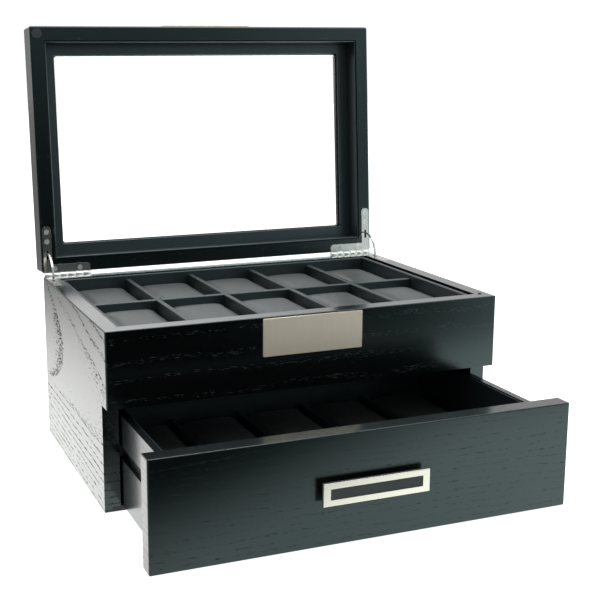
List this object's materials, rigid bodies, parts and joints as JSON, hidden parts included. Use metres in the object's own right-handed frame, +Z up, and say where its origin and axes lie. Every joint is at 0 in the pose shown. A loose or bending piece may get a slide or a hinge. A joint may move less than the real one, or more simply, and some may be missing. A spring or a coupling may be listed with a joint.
{
  "type": "sunglasses box",
  "caption": "Black veneered box with a glazed lid on quadrant hinges, lined compartments with cushions, and a full-width drawer with a bar pull.",
  "frame": {"origin": "middle of the case's plan, on the face the box rests on", "axes": "+X to the viewer's right as seen from the drawer, +Y to the back, +Z up; the drawer stands out towards -Y and the lid is open"},
  "size_m": [0.33, 0.3727, 0.3654],
  "materials": {
    "veneer": "satin black open-pore veneer",
    "inner_wood": "matt black",
    "lining_leatherette": "matt black leatherette",
    "cushion_leatherette": "smooth black leatherette",
    "hinge_chrome": "polished",
    "screw_steel": "plain",
    "plate_metal": "brushed, warm nickel",
    "pull_metal": "brushed",
    "inlay": "diagonal weave",
    "glass": "clear",
    "felt": "felt",
    "bumper": "matt"
  },
  "bodies": {
    "case": {"side_panel_left": "veneer", "side_panel_right": "veneer", "back_panel": "veneer", "front_fascia": "veneer", "mid_shelf": "inner_wood", "bottom_panel": "veneer", "base_felt": "felt", "drawer_runner_left": "inner_wood", "drawer_runner_right": "inner_wood", "runner_screws": "screw_steel", "body_plate": "plate_metal", "corner_stop": "bumper", "tray_floor": "lining_leatherette", "tray_lining": "lining_leatherette", "tray_long_divider": "lining_leatherette", "tray_cross_dividers": "lining_leatherette", "hinge_body_leaf_left": "hinge_chrome", "hinge_body_leaf_right": "hinge_chrome", "hinge_body_screws": "hinge_chrome", "hinge_pin_left": "hinge_chrome", "hinge_pin_right": "hinge_chrome", "tray_cushion_1": "cushion_leatherette", "tray_cushion_2": "cushion_leatherette", "tray_cushion_3": "cushion_leatherette", "tray_cushion_4": "cushion_leatherette", "tray_cushion_5": "cushion_leatherette", "tray_cushion_6": "cushion_leatherette", "tray_cushion_7": "cushion_leatherette", "tray_cushion_8": "cushion_leatherette", "tray_cushion_9": "cushion_leatherette", "tray_cushion_10": "cushion_leatherette"},
    "lid": {"lid_rail_front": "veneer", "lid_rail_back": "veneer", "lid_rail_left": "veneer", "lid_rail_right": "veneer", "lid_glass": "glass", "lid_retainer": "lining_leatherette", "lid_lining": "lining_leatherette", "lid_plate": "plate_metal", "lid_bumper": "bumper", "hinge_lid_leaf_left": "hinge_chrome", "hinge_lid_leaf_right": "hinge_chrome", "hinge_lid_screws": "hinge_chrome"},
    "stay_left": {"stay_arm_left": "hinge_chrome"},
    "stay_right": {"stay_arm_right": "hinge_chrome"},
    "drawer": {"drawer_front": "veneer", "drawer_side_left": "inner_wood", "drawer_side_right": "inner_wood", "drawer_back": "inner_wood", "drawer_floor": "inner_wood", "drawer_lining": "lining_leatherette", "drawer_long_divider": "lining_leatherette", "drawer_cross_dividers": "lining_leatherette", "drawer_cushions_front": "cushion_leatherette", "drawer_cushions_rear": "cushion_leatherette", "pull_bar": "pull_metal", "pull_inlay": "inlay", "pull_posts": "pull_metal", "pull_screws": "screw_steel"}
  },
  "joints": [
    {"name": "lid_hinge", "type": "hinge", "parent": "case", "child": "lid", "pos_m": [0, 0.1112, 0.1451], "axis": [1, 0, 0], "range_deg": [0, 94.4]},
    {"name": "stay_left_turn", "type": "hinge", "parent": "case", "child": "stay_left", "pos_m": [0, 0.1112, 0.1451], "axis": [1, 0, 0], "range_deg": [0, 47.2]},
    {"name": "stay_right_turn", "type": "hinge", "parent": "case", "child": "stay_right", "pos_m": [0, 0.1112, 0.1451], "axis": [1, 0, 0], "range_deg": [0, 47.2]},
    {"name": "drawer_slide", "type": "slide", "parent": "case", "child": "drawer", "axis": [0, -1, 0], "range_m": [-0.102, 0.048]}
  ],
  "couplings": [
    {"joint": "stay_left_turn", "follows": "lid_hinge", "ratio": 0.5},
    {"joint": "stay_right_turn", "follows": "lid_hinge", "ratio": 0.5}
  ]
}
